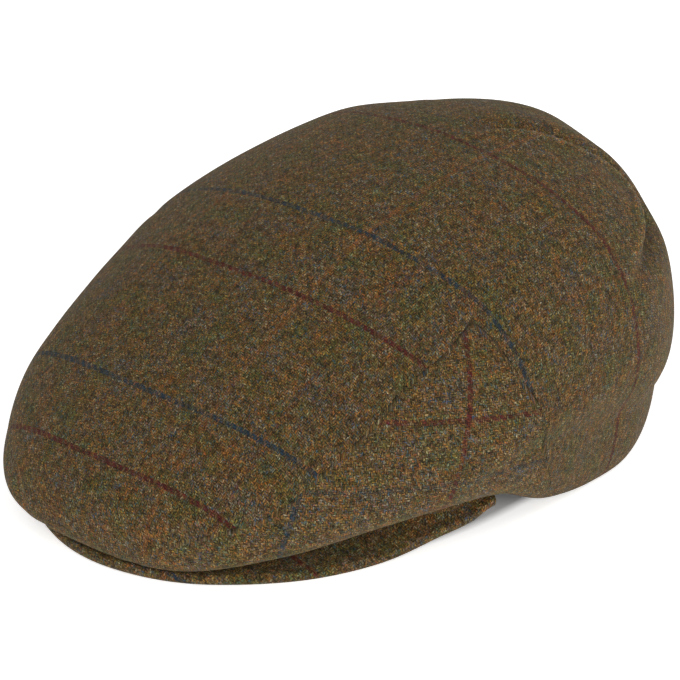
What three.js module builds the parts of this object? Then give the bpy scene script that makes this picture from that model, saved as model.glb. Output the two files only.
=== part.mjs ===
// A one-piece-top flat cap in tweed, resting on its rim and on the edge of its peak.
// Millimetres, +Z up, the peak points to -Y, the wearer's left is +X.

import * as THREE from 'three';

// Named sizes
const CROWN_REACH = 125;
const CROWN_HEIGHT = 110;
const CROWN_CENTRE_Y = 6;
const CLOTH_WALL = 2;
const SEAM_GAP = 0.4;
const PEAK_THICKNESS = 4;
const PEAK_ROOT_HALF_WIDTH = CROWN_REACH * 0.656;
const PEAK_ROOT_DEPTH = CROWN_REACH * 0.728;
const PEAK_ROOT_RISE = 13;
const PEAK_EDGE_ROUND = 1.4;
const FACING_DEPTH = 14;
const BELLY_SHARE = 0.3;
const HEM_SHARE = 0.03;
const FAR_CORNER_FULLNESS = 3.5;
const FAR_CORNER_DROOP = 4.5;
const TUCK_DEPTH = 4.2;
const BACK_FOLD_DEPTH = 4;
const BACK_FOLD_WIDTH = 4.5;

// Where the rows of points lie on a column, as shares of its length; the first step is the hem
const TOP_ROWS = [
  0, 0.03, 0.07, 0.12, 0.17, 0.22, 0.27, 0.33, 0.39, 0.44, 0.49, 0.54, 0.59, 0.66, 0.74, 0.82, 0.9, 0.96, 1,
];
const SIDE_ROWS = [0, 0.04, 0.15, 0.28, 0.42, 0.56, 0.7, 0.85, 1];

// The dome that the crown's upper half rises to: height at the middle, slope and bend
// towards the back, bend towards the sides, and how the back falls away
const DOME = { middle: 106, rise: 0.197, bend: -0.0009, sideBend: -0.0006, twist: 1.05e-6 };

// One row per direction round the crown, in degrees from the front. Reaches are shares of
// CROWN_REACH, heights shares of CROWN_HEIGHT, full is how square the shoulder is.
const CROWN_ROWS = [
  { at: 0, rim: 1.072, rimUp: 0.050, belly: 1.112, bellyUp: 0.150, full: 2.11 },
  { at: 15, rim: 1.040, rimUp: 0.050, belly: 1.092, bellyUp: 0.165, full: 2.13 },
  { at: 30, rim: 0.940, rimUp: 0.100, belly: 1.008, bellyUp: 0.205, full: 2.17 },
  { at: 45, rim: 0.800, rimUp: 0.140, belly: 0.908, bellyUp: 0.250, full: 2.20 },
  { at: 60, rim: 0.696, rimUp: 0.145, belly: 0.836, bellyUp: 0.285, full: 2.24 },
  { at: 75, rim: 0.652, rimUp: 0.115, belly: 0.804, bellyUp: 0.320, full: 2.24 },
  { at: 90, rim: 0.640, rimUp: 0.025, belly: 0.788, bellyUp: 0.355, full: 2.24 },
  { at: 105, rim: 0.686, rimUp: 0.000, belly: 0.800, bellyUp: 0.380, full: 2.24 },
  { at: 120, rim: 0.746, rimUp: 0.000, belly: 0.850, bellyUp: 0.410, full: 2.20 },
  { at: 150, rim: 0.826, rimUp: 0.000, belly: 0.940, bellyUp: 0.440, full: 2.27 },
  { at: 180, rim: 0.864, rimUp: 0.000, belly: 0.984, bellyUp: 0.455, full: 2.60 },
];

// The seam between the top panel and a side panel: share of the way from rim to apex
const SEAM_ROWS = [
  { at: 5, share: 0.00 },
  { at: 8, share: 0.09 },
  { at: 11, share: 0.19 },
  { at: 14, share: 0.265 },
  { at: 17, share: 0.300 },
  { at: 22, share: 0.321 },
  { at: 30, share: 0.358 },
  { at: 36.5, share: 0.429 },
  { at: 45, share: 0.495 },
  { at: 51, share: 0.542 },
  { at: 61.5, share: 0.573 },
  { at: 68, share: 0.600 },
  { at: 70.5, share: 0.608 },
  { at: 73.5, share: 0.546 },
  { at: 76.5, share: 0.455 },
  { at: 79.5, share: 0.370 },
  { at: 82, share: 0.267 },
  { at: 85, share: 0.188 },
  { at: 91.5, share: 0.070 },
  { at: 95, share: 0.00 },
];

// The tuck above the rim at each side: where its crease lies and how deep it is
const TUCK_ROWS = [
  { at: 58, share: 0.20, depth: 0.0 },
  { at: 66, share: 0.235, depth: 0.25 },
  { at: 75, share: 0.26, depth: 0.55 },
  { at: 88, share: 0.262, depth: 0.65 },
  { at: 100, share: 0.245, depth: 0.8 },
  { at: 110, share: 0.228, depth: 0.9 },
  { at: 122, share: 0.205, depth: 0.9 },
  { at: 140, share: 0.19, depth: 0.7 },
  { at: 155, share: 0.18, depth: 0.3 },
  { at: 170, share: 0.17, depth: 0.0 },
];

// The fold round the back of the top, row by row along its ridge: turn is degrees from the
// front, share the way from rim to apex, depth the fold's strength
const BACK_FOLD_ROWS = [
  { at: 0, turn: 115, share: 0.50, depth: 0.0 },
  { at: 1, turn: 126, share: 0.505, depth: 0.4 },
  { at: 2, turn: 137, share: 0.52, depth: 1.0 },
  { at: 3, turn: 147, share: 0.55, depth: 1.0 },
  { at: 4, turn: 151.5, share: 0.60, depth: 1.0 },
  { at: 5, turn: 153, share: 0.67, depth: 1.0 },
  { at: 6, turn: 156, share: 0.73, depth: 0.9 },
  { at: 7, turn: 159, share: 0.80, depth: 0.6 },
  { at: 8, turn: 160, share: 0.88, depth: 0.0 },
];

// Small dents of the soft back, in degrees either way from the front: depth in mm inward
const DENT_ROWS = [
  { at: 153, share: 0.44, depth: 1.2, wide: 8, tall: 0.06 },
  { at: 169, share: 0.60, depth: 1.2, wide: 5, tall: 0.05 },
  { at: -134, share: 0.68, depth: -1.5, wide: 12, tall: 0.09 },
];

// The peak's outer edge: reach as a share of CROWN_REACH, height of its underside in mm
const PEAK_ROWS = [
  { at: 0, reach: 1.080, under: 0.6 },
  { at: 15, reach: 1.036, under: 0.3 },
  { at: 30, reach: 0.930, under: 0.0 },
  { at: 45, reach: 0.812, under: 0.3 },
  { at: 58, reach: 0.720, under: 2.0 },
  { at: 68, reach: 0.692, under: 4.5 },
  { at: 76, reach: 0.672, under: 7.4 },
];

const radians = THREE.MathUtils.degToRad;

// Smooth curve through a column of a table, level at both ends
function column(rows, name, at) {
  const last = rows.length - 1;
  const x = THREE.MathUtils.clamp(at, rows[0].at, rows[last].at);
  let i = 0;
  while (i < last - 1 && x > rows[i + 1].at) i += 1;
  const slope = (k) => {
    if (k === 0 || k === last) return 0;
    return (rows[k + 1][name] - rows[k - 1][name]) / (rows[k + 1].at - rows[k - 1].at);
  };
  const span = rows[i + 1].at - rows[i].at;
  const t = (x - rows[i].at) / span;
  const a = rows[i][name];
  const b = rows[i + 1][name];
  const t2 = t * t;
  const t3 = t2 * t;
  return a * (2 * t3 - 3 * t2 + 1) + slope(i) * span * (t3 - 2 * t2 + t)
    + b * (3 * t2 - 2 * t3) + slope(i + 1) * span * (t3 - t2);
}

// Straight lines between the rows of a table
function straight(rows, name, at) {
  const last = rows.length - 1;
  const x = THREE.MathUtils.clamp(at, rows[0].at, rows[last].at);
  let i = 0;
  while (i < last - 1 && x > rows[i + 1].at) i += 1;
  const t = (x - rows[i].at) / (rows[i + 1].at - rows[i].at);
  return THREE.MathUtils.lerp(rows[i][name], rows[i + 1][name], t);
}

// Degrees from the front, 0 to 180 on either side
function fromFront(angle) {
  return Math.abs(THREE.MathUtils.euclideanModulo(angle + 180, 360) - 180);
}

function bump(x, middle, width) {
  return Math.exp(-(((x - middle) / width) ** 2));
}

function domeHeight(x, y) {
  return DOME.middle + DOME.rise * y + DOME.bend * y * y + DOME.sideBend * x * x + DOME.twist * y ** 3;
}

// Inward push of the side tuck: steeper above the crease, fading down to the rim
function tuckPush(at, share) {
  const depth = TUCK_DEPTH * column(TUCK_ROWS, 'depth', at);
  const crease = column(TUCK_ROWS, 'share', at);
  const below = (crease - share) / crease;
  if (below >= 0) return depth * (1 - below) ** 1.5;
  return depth * bump(below, 0, 0.14) - 0.3 * depth * bump(share, crease + 0.08, 0.05);
}

function dentPush(signed, share) {
  return DENT_ROWS.reduce(
    (sum, dent) => sum + dent.depth * bump(signed, dent.at, dent.wide) * bump(share, dent.share, dent.tall),
    0,
  );
}

// How far the soft far front corner hangs out, low down
function farCornerDroop(signed, share) {
  return FAR_CORNER_DROOP * bump(signed, -20, 16) * bump(share, 0.2, 0.13);
}

// A point of the crown's outer face, pushed inward: angle in degrees from the front, share
// from rim to apex
function pushedPoint(angle, share, push) {
  const at = fromFront(angle);
  const signed = THREE.MathUtils.euclideanModulo(angle + 180, 360) - 180;
  const far = FAR_CORNER_FULLNESS * bump(signed, -32, 17);
  const rim = CROWN_REACH * column(CROWN_ROWS, 'rim', at) + far;
  const belly = CROWN_REACH * column(CROWN_ROWS, 'belly', at) + far;
  const rimUp = CROWN_HEIGHT * Math.max(column(CROWN_ROWS, 'rimUp', at), 0);
  const bellyUp = CROWN_HEIGHT * column(CROWN_ROWS, 'bellyUp', at);
  const full = column(CROWN_ROWS, 'full', at);
  const side = Math.sin(radians(angle));
  const ahead = -Math.cos(radians(angle));
  if (share < BELLY_SHARE) {
    const turn = (share / BELLY_SHARE) * Math.PI / 2;
    const climb = Math.max((share - HEM_SHARE) / (BELLY_SHARE - HEM_SHARE), 0) * Math.PI / 2;
    const reach = rim + (belly - rim) * Math.sin(turn) - push;
    const up = rimUp + (bellyUp - rimUp) * (1 - Math.cos(climb));
    return new THREE.Vector3(reach * side, CROWN_CENTRE_Y + reach * ahead, up);
  }
  const turn = ((share - BELLY_SHARE) / (1 - BELLY_SHARE)) * Math.PI / 2;
  const inward = Math.max(Math.cos(turn), 0) ** (2 / full);
  const upward = Math.sin(turn) ** (2 / full);
  const reach = belly * inward;
  const dome = domeHeight(reach * side, reach * ahead);
  const out = Math.max(reach - push * inward, 0);
  return new THREE.Vector3(
    out * side,
    CROWN_CENTRE_Y + out * ahead,
    bellyUp + (dome - bellyUp) * upward - push * upward,
  );
}

// Places along the ridge of the back fold on the unfolded crown, with the fold's strength
function backFoldRidge() {
  const steps = 60;
  const length = BACK_FOLD_ROWS[BACK_FOLD_ROWS.length - 1].at;
  const ridge = [];
  for (let k = 0; k <= steps; k += 1) {
    const at = (length * k) / steps;
    const turn = column(BACK_FOLD_ROWS, 'turn', at);
    const place = pushedPoint(turn, column(BACK_FOLD_ROWS, 'share', at), 0);
    ridge.push({ place, depth: column(BACK_FOLD_ROWS, 'depth', at) });
  }
  return ridge;
}

const RIDGE = backFoldRidge();
const CROWN_INSIDE = new THREE.Vector3(0, CROWN_CENTRE_Y, CROWN_HEIGHT * 0.3);

// Inward push of the back fold: a low ridge with a valley behind it and a bulge behind that;
// on the far side only its middle shows
function backFoldPush(signed, at, plain) {
  if (at < 95) return 0;
  const strength = signed > 0 ? 1 : 0.6 * bump(at, 132, 16);
  const place = new THREE.Vector3(Math.abs(plain.x), plain.y, plain.z);
  const gaps = RIDGE.map((spot) => spot.place.distanceTo(place));
  const k = gaps.indexOf(Math.min(...gaps));
  const ahead = RIDGE[Math.min(k + 1, RIDGE.length - 1)].place;
  const along = ahead.clone().sub(RIDGE[Math.max(k - 1, 0)].place).normalize();
  const off = place.sub(RIDGE[k].place);
  off.addScaledVector(along, -off.dot(along));
  const outward = RIDGE[k].place.clone().sub(CROWN_INSIDE);
  const behind = -Math.sign(along.cross(off).dot(outward)) * off.length() / BACK_FOLD_WIDTH;
  const valley = bump(behind, 1.3, 1);
  const ridge = 0.35 * bump(behind, 0, 0.75);
  const bulge = 0.12 * bump(behind, 3.6, 1.3);
  return BACK_FOLD_DEPTH * strength * RIDGE[k].depth * (valley - ridge - bulge);
}

function crownPoint(angle, share) {
  const at = fromFront(angle);
  const signed = THREE.MathUtils.euclideanModulo(angle + 180, 360) - 180;
  const backFold = backFoldPush(signed, at, pushedPoint(angle, share, 0));
  const folds = tuckPush(at, share) + backFold + dentPush(signed, share);
  return pushedPoint(angle, share, folds - farCornerDroop(signed, share));
}

// Outward direction of the crown's outer face
function crownNormal(angle, share) {
  if (share > 0.999) return new THREE.Vector3(0, 0, 1);
  const low = Math.max(share - 0.004, 0);
  const high = Math.min(share + 0.004, 1);
  const around = crownPoint(angle + 0.5, share).sub(crownPoint(angle - 0.5, share));
  const upwards = crownPoint(angle, high).sub(crownPoint(angle, low));
  return around.cross(upwards).normalize();
}

function crownInside(angle, share) {
  return crownPoint(angle, share).addScaledVector(crownNormal(angle, share), -CLOTH_WALL);
}

// Share where the seam crosses a direction, 0 outside the side panel
function seamShare(angle) {
  return straight(SEAM_ROWS, 'share', fromFront(angle));
}

// Moves the points at a seam sideways in the cloth by half the seam gap
function acrossSeam(angle, sign) {
  const share = seamShare(angle);
  const step = 0.25;
  const before = crownPoint(angle - step, seamShare(angle - step));
  const along = crownPoint(angle + step, seamShare(angle + step)).sub(before).normalize();
  const normal = crownNormal(angle, share);
  const half = (SEAM_GAP / 2) * (1 + 0.8 * bump(fromFront(angle), 8, 6));
  return along.cross(normal).normalize().multiplyScalar(-sign * half);
}

// Directions of the crown's columns, closer together at the rear seam and at the back fold
function columnAngles() {
  const half = [];
  for (let k = 0; k < 10; k += 1) half.push(2.4 * k);
  for (let k = 0; k < 8; k += 1) half.push(24 + 5.5 * k);
  for (let k = 0; k < 16; k += 1) half.push(68 + 1.9 * k);
  for (let k = 0; k < 5; k += 1) half.push(99 + 7.2 * k);
  for (let k = 0; k < 9; k += 1) half.push(135 + 5 * k);
  const other = half.slice(1).reverse().map((a) => -a);
  return { half, round: [...half, 180, ...other] };
}

// The columns that lie ahead of a limit, from the right side round to the left
function frontAngles(limit) {
  const half = columnAngles().half.filter((a) => a < limit);
  return [...half.slice(1).reverse().map((a) => -a), ...half];
}

// Closed solid through a row of closed outlines that all have the same number of points
function solidThrough(outlines, joined) {
  const count = outlines[0].length;
  const points = outlines.flat();
  const faces = [];
  const rows = joined ? outlines.length : outlines.length - 1;
  for (let i = 0; i < rows; i += 1) {
    const a = i * count;
    const b = ((i + 1) % outlines.length) * count;
    for (let j = 0; j < count; j += 1) {
      const k = (j + 1) % count;
      faces.push([a + j, b + j, b + k], [a + j, b + k, a + k]);
    }
  }
  if (!joined) {
    const half = count / 2;
    const end = (outlines.length - 1) * count;
    for (let j = 0; j < half - 1; j += 1) {
      const back = count - 1 - j;
      faces.push([j, j + 1, back - 1], [j, back - 1, back]);
      faces.push([end + j, end + back - 1, end + j + 1], [end + j, end + back, end + back - 1]);
    }
  }
  const same = (p, q) => points[p].distanceToSquared(points[q]) < 1e-8;
  const whole = faces.filter(([p, q, r]) => !same(p, q) && !same(q, r) && !same(r, p));
  const geometry = new THREE.BufferGeometry();
  geometry.setAttribute('position', new THREE.Float32BufferAttribute(points.flatMap((p) => p.toArray()), 3));
  geometry.setIndex(whole.flat());
  geometry.computeVertexNormals();
  return geometry;
}

// Outline of one column of cloth wall: up the outside, then down the inside
function wallOutline(angle, shares, lowShift, highShift) {
  const last = shares.length - 1;
  const shift = (k) => {
    if (k === 0) return lowShift;
    if (k === last) return highShift;
    return new THREE.Vector3();
  };
  const outer = shares.map((s, k) => crownPoint(angle, s).add(shift(k)));
  const inner = shares.map((s, k) => crownInside(angle, s).add(shift(k)));
  return [...outer, ...inner.reverse()];
}

function insideSidePanel(angle) {
  const at = fromFront(angle);
  return at > SEAM_ROWS[0].at && at < SEAM_ROWS[SEAM_ROWS.length - 1].at;
}

// The top panel, from the rim or the seam up to the apex
function topPanel() {
  const none = new THREE.Vector3();
  const outlines = columnAngles().round.map((angle) => {
    const start = seamShare(angle);
    const shares = TOP_ROWS.map((row) => start + (1 - start) * row);
    const low = insideSidePanel(angle) ? acrossSeam(angle, 1) : none;
    return wallOutline(angle, shares, low, none);
  });
  return solidThrough(outlines, true);
}

// A side panel, from the lip or the rim up to the seam
function sidePanel(side) {
  const none = new THREE.Vector3();
  const first = 7;
  const final = 94;
  const angles = columnAngles().half.filter((a) => a > first && a < final).map((a) => side * a);
  const outlines = angles.map((angle) => {
    const shares = SIDE_ROWS.map((row) => seamShare(angle) * row);
    return wallOutline(angle, shares, none, acrossSeam(angle, -1));
  });
  if (side < 0) outlines.reverse();
  return solidThrough(outlines, false);
}

function peakRootReach(angle) {
  const side = Math.sin(radians(angle)) / PEAK_ROOT_HALF_WIDTH;
  const ahead = Math.cos(radians(angle)) / PEAK_ROOT_DEPTH;
  return 1 / Math.hypot(side, ahead);
}

// A point of the peak: share from the root to the edge, up from the underside
function peakPoint(angle, share, up, beyond) {
  const at = fromFront(angle);
  const far = 0.6 * FAR_CORNER_FULLNESS * bump(angle, -28, 17);
  const edge = CROWN_REACH * column(PEAK_ROWS, 'reach', at) + far;
  const reach = THREE.MathUtils.lerp(peakRootReach(angle), edge, share) + beyond;
  const rise = PEAK_ROOT_RISE * Math.cos(radians(angle * 1.15)) * Math.max(1 - share, 0) ** 1.3;
  const z = column(PEAK_ROWS, 'under', at) + Math.max(rise, 0) + up;
  return new THREE.Vector3(
    reach * Math.sin(radians(angle)),
    CROWN_CENTRE_Y - reach * Math.cos(radians(angle)),
    z,
  );
}

// The peak: a curved board covered in cloth, with rounded edges
function peak() {
  const across = 5;
  const outlines = [];
  for (const angle of frontAngles(76)) {
    const middle = PEAK_THICKNESS / 2;
    const under = [peakPoint(angle, 0, middle, -PEAK_EDGE_ROUND * 0.5)];
    const over = [peakPoint(angle, 1, middle, PEAK_EDGE_ROUND)];
    for (let k = 0; k <= across; k += 1) {
      under.push(peakPoint(angle, k / across, 0, 0));
      over.push(peakPoint(angle, 1 - k / across, PEAK_THICKNESS, 0));
    }
    outlines.push([...under, ...over]);
  }
  return solidThrough(outlines, false);
}

// The crown's cloth turned under the lip, running back to where it is sewn onto the peak
function lipFacing() {
  const along = 5;
  const thick = CLOTH_WALL / 2;
  const seat = SEAM_GAP + 0.15;
  const outlines = [];
  for (const angle of frontAngles(71)) {
    const at = fromFront(angle);
    const lip = crownPoint(angle, 0);
    const lipReach = Math.hypot(lip.x, lip.y - CROWN_CENTRE_Y);
    const root = peakRootReach(angle);
    const edge = CROWN_REACH * column(PEAK_ROWS, 'reach', at);
    const sewn = THREE.MathUtils.clamp(lipReach - FACING_DEPTH, root + 1.6, edge - 1.6);
    const over = (reach) => peakPoint(angle, (reach - root) / (edge - root), PEAK_THICKNESS, 0).z;
    const low = over(sewn) + seat + thick;
    const steep = (lip.z - low) / Math.hypot(lip.z - low, lipReach - sewn);
    const start = lipReach - SEAM_GAP - thick * Math.abs(steep) * 1.2;
    const high = sewn < start ? lip.z + thick : lip.z - SEAM_GAP - thick * 0.8;
    const middle = [];
    for (let k = 0; k <= along; k += 1) {
      const reach = THREE.MathUtils.lerp(start, sewn, k / along);
      const level = THREE.MathUtils.lerp(high, low, k / along);
      middle.push(new THREE.Vector2(reach, Math.max(level, over(reach) + seat + thick)));
    }
    const side = (sign) => middle.map((p, k) => {
      const before = middle[Math.max(k - 1, 0)];
      const after = middle[Math.min(k + 1, along)];
      const run = after.clone().sub(before).normalize();
      const reach = p.x - sign * thick * run.y;
      const up = p.y + sign * thick * run.x;
      return new THREE.Vector3(
        reach * Math.sin(radians(angle)),
        CROWN_CENTRE_Y - reach * Math.cos(radians(angle)),
        up,
      );
    });
    outlines.push([...side(-1), ...side(1).reverse()]);
  }
  return solidThrough(outlines, false);
}

function clothMesh(name, geometry, colour) {
  const material = new THREE.MeshStandardMaterial({ color: colour, roughness: 0.95, metalness: 0 });
  const mesh = new THREE.Mesh(geometry, material);
  mesh.name = name;
  return mesh;
}

// Puts the bottom centre of the whole cap's box at the origin
function settle(meshes) {
  const box = new THREE.Box3();
  meshes.forEach((mesh) => box.expandByObject(mesh));
  const middle = box.getCenter(new THREE.Vector3());
  meshes.forEach((mesh) => mesh.geometry.translate(-middle.x, -middle.y, -box.min.z));
}

const meshes = [
  clothMesh('top_panel', topPanel(), 0x544531),
  clothMesh('side_panel_left', sidePanel(1), 0x5a4a35),
  clothMesh('side_panel_right', sidePanel(-1), 0x5a4a35),
  clothMesh('peak', peak(), 0x54442f),
  clothMesh('lip_facing', lipFacing(), 0x45392a),
];
settle(meshes);

const group = new THREE.Group();
group.name = 'flat_cap';
meshes.forEach((mesh) => group.add(mesh));

export default group;
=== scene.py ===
# A one-piece-top flat cap in checked tweed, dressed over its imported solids.
# Lengths are in millimetres until a mesh is made; Blender's own lengths are metres.

import math

import bpy
import numpy as np
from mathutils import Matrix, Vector


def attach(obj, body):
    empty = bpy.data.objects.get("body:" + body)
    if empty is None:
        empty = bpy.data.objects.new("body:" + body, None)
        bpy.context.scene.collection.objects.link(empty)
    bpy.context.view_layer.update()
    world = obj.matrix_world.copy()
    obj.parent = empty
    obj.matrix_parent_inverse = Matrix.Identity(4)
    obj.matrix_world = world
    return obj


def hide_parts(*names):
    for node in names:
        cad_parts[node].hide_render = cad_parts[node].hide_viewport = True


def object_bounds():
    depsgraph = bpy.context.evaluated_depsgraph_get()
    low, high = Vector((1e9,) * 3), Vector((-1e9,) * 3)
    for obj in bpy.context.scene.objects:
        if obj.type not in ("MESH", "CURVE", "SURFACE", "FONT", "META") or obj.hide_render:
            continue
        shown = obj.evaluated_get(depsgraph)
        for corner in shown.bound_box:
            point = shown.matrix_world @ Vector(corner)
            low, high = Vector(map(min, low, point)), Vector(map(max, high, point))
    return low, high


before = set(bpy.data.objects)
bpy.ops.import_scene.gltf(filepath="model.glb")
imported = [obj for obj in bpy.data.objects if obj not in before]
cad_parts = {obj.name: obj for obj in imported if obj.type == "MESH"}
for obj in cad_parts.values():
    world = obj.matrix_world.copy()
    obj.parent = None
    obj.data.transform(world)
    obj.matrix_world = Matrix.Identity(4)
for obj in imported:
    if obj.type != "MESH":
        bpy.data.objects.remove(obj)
cad_low, cad_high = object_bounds()

MM = 0.001

# Sizes of the cap and shares of them, the same as in the part's source
CROWN_REACH = 125
CROWN_HEIGHT = 110
CROWN_CENTRE_Y = 6
CLOTH_WALL = 2
PEAK_THICKNESS = 4
PEAK_ROOT_HALF_WIDTH = CROWN_REACH * 0.656
PEAK_ROOT_DEPTH = CROWN_REACH * 0.728
PEAK_ROOT_RISE = 13
PEAK_EDGE_ROUND = 1.4
FACING_DEPTH = 14
BELLY_SHARE = 0.3
HEM_SHARE = 0.03
FAR_CORNER_FULLNESS = 3.5
FAR_CORNER_DROOP = 4.5
TUCK_DEPTH = 4.2
BACK_FOLD_DEPTH = 4
BACK_FOLD_WIDTH = 4.5

# Sizes that only the dressed cap shows
SEAM_GAP = 0.04
SEAM_ROUND = 0.2
HEM_ROUND = 1.0
SEAM_DIP = 0.2
SEAM_DIP_WIDTH = 2.4
PUCKER_DEPTH = 0.2
PUCKER_PITCH = 11
PUCKER_SLANT = 0.6
PUCKER_REACH = 5
SLACK_DEPTH = 0.65
PEAK_ROOT_ROUND = PEAK_EDGE_ROUND * 0.4
PEAK_SLACK_DEPTH = 0.25
PEAK_SLACK_SINK = 0.15
PEAK_SLACK_CLOSENESS = 1.4
FOLD_SHARPNESS = 0.15
# How strong the painted highlight along the back fold's ridge and the painted shade in its valley
# are
FOLD_PAINTED_HIGHLIGHT = 0.75
FOLD_PAINTED_SHADE = 0.5

# Rough sizes of the side cloth, for distances in it
SIDE_REACH = CROWN_REACH * 0.82
SIDE_COLUMN_LENGTH = 150

# Rows of the fine grids that the cloth is made of, and their columns in degrees from the front:
# even stretches (from, to, step), closer together where the rear seam drops
TOP_GRID_ROWS = 94
TOP_GRID_COLUMNS = ((0, 24, 0.8), (24, 68, 1.1), (68, 97, 0.45), (97, 180, 0.95))
SIDE_GRID_ROWS = 44
SIDE_GRID_COLUMNS = ((6.4, 24, 0.7), (24, 68, 0.9), (68, 94, 0.4))
PEAK_GRID_ROWS = 34
PEAK_GRID_COLUMNS = 260
PEAK_HALF_TURN = 75.4
FACING_GRID_ROWS = 12
FACING_GRID_COLUMNS = 220
FACING_HALF_TURN = 70
EDGE_ROW_DEPTH = 1.5
ROLL_STEPS = 6

# Steps along which directions in the cloth are measured, in degrees and in shares of a column
ANGLE_STEP = 0.5
SHARE_STEP = 0.004

# How many places stand for a line when distances to it or lengths along it are measured
RIDGE_PLACES = 61
SEAM_PLACES = 181
COLUMN_PLACES = 241
BELLY_PLACES = 721

# The dome that the crown's upper half rises to
DOME_MIDDLE = 106
DOME_RISE = 0.197
DOME_BEND = -0.0009
DOME_SIDE_BEND = -0.0006
DOME_TWIST = 1.05e-6


def table(names, *rows):
    """Columns of a small table, by name."""
    return dict(zip(names.split(), np.array(rows, float).T))


# One row per direction round the crown, in degrees from the front, as in the part's source
CROWN_ROWS = table(
    "at rim rim_up belly belly_up full",
    (0, 1.072, 0.050, 1.112, 0.150, 2.11),
    (15, 1.040, 0.050, 1.092, 0.165, 2.13),
    (30, 0.940, 0.100, 1.008, 0.205, 2.17),
    (45, 0.800, 0.140, 0.908, 0.250, 2.20),
    (60, 0.696, 0.145, 0.836, 0.285, 2.24),
    (75, 0.652, 0.115, 0.804, 0.320, 2.24),
    (90, 0.640, 0.025, 0.788, 0.355, 2.24),
    (105, 0.686, 0.000, 0.800, 0.380, 2.24),
    (120, 0.746, 0.000, 0.850, 0.410, 2.20),
    (150, 0.826, 0.000, 0.940, 0.440, 2.27),
    (180, 0.864, 0.000, 0.984, 0.455, 2.60),
)

# The seam of a side panel, from the lip up to its apex and from the apex down to the rim
FRONT_SEAM_ROWS = table(
    "at share",
    (5, 0.000), (8, 0.090), (11, 0.190), (14, 0.265), (17, 0.300), (22, 0.321), (30, 0.358),
    (36.5, 0.429), (45, 0.495), (51, 0.542), (61.5, 0.573), (68, 0.600), (70.5, 0.608),
)
REAR_SEAM_ROWS = table(
    "at share",
    (70.5, 0.608), (73.5, 0.546), (76.5, 0.455), (79.5, 0.370), (82, 0.267), (85, 0.188),
    (91.5, 0.070), (95, 0.000),
)
SEAM_START = 5
SEAM_APEX = 70.5
SEAM_END = 95

# The tuck above the rim at each side: where its crease lies and how deep it is
TUCK_ROWS = table(
    "at share depth",
    (58, 0.200, 0.0), (66, 0.235, 0.25), (75, 0.260, 0.55), (88, 0.262, 0.65), (100, 0.245, 0.8),
    (110, 0.228, 0.9), (122, 0.205, 0.9), (140, 0.190, 0.7), (155, 0.180, 0.3), (170, 0.170, 0.0),
)
# How it fades down to the rim, how far it reaches up, and how the cloth swells out above it
TUCK_FADE = 1.5
TUCK_ABOVE_WIDTH = 0.14
TUCK_SWELL = 0.3
TUCK_SWELL_ABOVE = 0.08
TUCK_SWELL_WIDTH = 0.05

# The fold round the back of the top, row by row along its ridge, in degrees from the front,
# and the direction that all of it lies behind
BACK_FOLD_ROWS = table(
    "at turn share depth",
    (0, 115, 0.500, 0.0), (1, 126, 0.505, 0.4), (2, 137, 0.520, 1.0), (3, 147, 0.550, 1.0),
    (4, 151.5, 0.600, 1.0), (5, 153, 0.670, 1.0), (6, 156, 0.730, 0.9), (7, 159, 0.800, 0.6),
    (8, 160, 0.880, 0.0),
)
BACK_FOLD_FROM = 95

# Middle and width of each form across the fold, in fold widths behind its ridge
FOLD_RIDGE = (0, 0.75)
FOLD_VALLEY = (1.3, 1)
FOLD_BULGE = (3.6, 1.3)
FOLD_RIDGE_SHARE = 0.35
FOLD_BULGE_SHARE = 0.12
SHARP_CREST = (0.1, 0.4)
SHARP_HOLLOW = (0.85, 0.45)
# Where the painted highlight along the ridge and the painted shade in its valley lie
PAINTED_HIGHLIGHT_BAND = (0, 0.4)
PAINTED_SHADE_BAND = (1.2, 0.6)

# On the far side only the middle of the fold shows, and there less deep
FAR_FOLD = (132, 16)
FAR_FOLD_SHARE = 0.6

# Middle and width of the soft far front corner's forms, in degrees from the front and in shares
FULL_CORNER = (-32, 17)
DROOPING_CORNER = (-20, 16)
DROOP_UP = (0.2, 0.13)
PEAK_CORNER = (-28, 17)
PEAK_CORNER_SHARE = 0.6

# Small dents of the soft back, in degrees either way from the front
DENT_ROWS = table(
    "at share depth wide tall",
    (153, 0.44, 1.2, 8, 0.06), (169, 0.60, 1.2, 5, 0.05), (-134, 0.68, -1.5, 12, 0.09),
)

# The peak's outer edge: reach as a share of CROWN_REACH, height of its underside in mm
PEAK_ROWS = table(
    "at reach under",
    (0, 1.080, 0.6), (15, 1.036, 0.3), (30, 0.930, 0.0), (45, 0.812, 0.3),
    (58, 0.720, 2.0), (68, 0.692, 4.5), (76, 0.672, 7.4),
)
# How the rise of its root sinks away to the sides and outwards
PEAK_RISE_SPREAD = 1.15
PEAK_RISE_FADE = 1.3


# Shape of the crown

def column(rows, name, at, level=True):
    """Smooth curve through a column of a table, level at both ends or running straight off."""
    x, y = rows["at"], rows[name]
    at = np.clip(at, x[0], x[-1])
    i = np.clip(np.searchsorted(x, at, side="right") - 1, 0, len(x) - 2)
    slope = np.zeros(len(x))
    slope[1:-1] = (y[2:] - y[:-2]) / (x[2:] - x[:-2])
    if not level:
        slope[0] = (y[1] - y[0]) / (x[1] - x[0])
        slope[-1] = (y[-1] - y[-2]) / (x[-1] - x[-2])
    span = x[i + 1] - x[i]
    t = (at - x[i]) / span
    t2, t3 = t * t, t * t * t
    return (
        y[i] * (2 * t3 - 3 * t2 + 1) + slope[i] * span * (t3 - 2 * t2 + t)
        + y[i + 1] * (3 * t2 - 2 * t3) + slope[i + 1] * span * (t3 - t2)
    )


def signed_from_front(angle):
    """Degrees from the front, -180 to 180, with the wearer's left positive."""
    return (angle + 180) % 360 - 180


def from_front(angle):
    """Degrees from the front, 0 to 180 on either side."""
    return np.abs(signed_from_front(angle))


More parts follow.
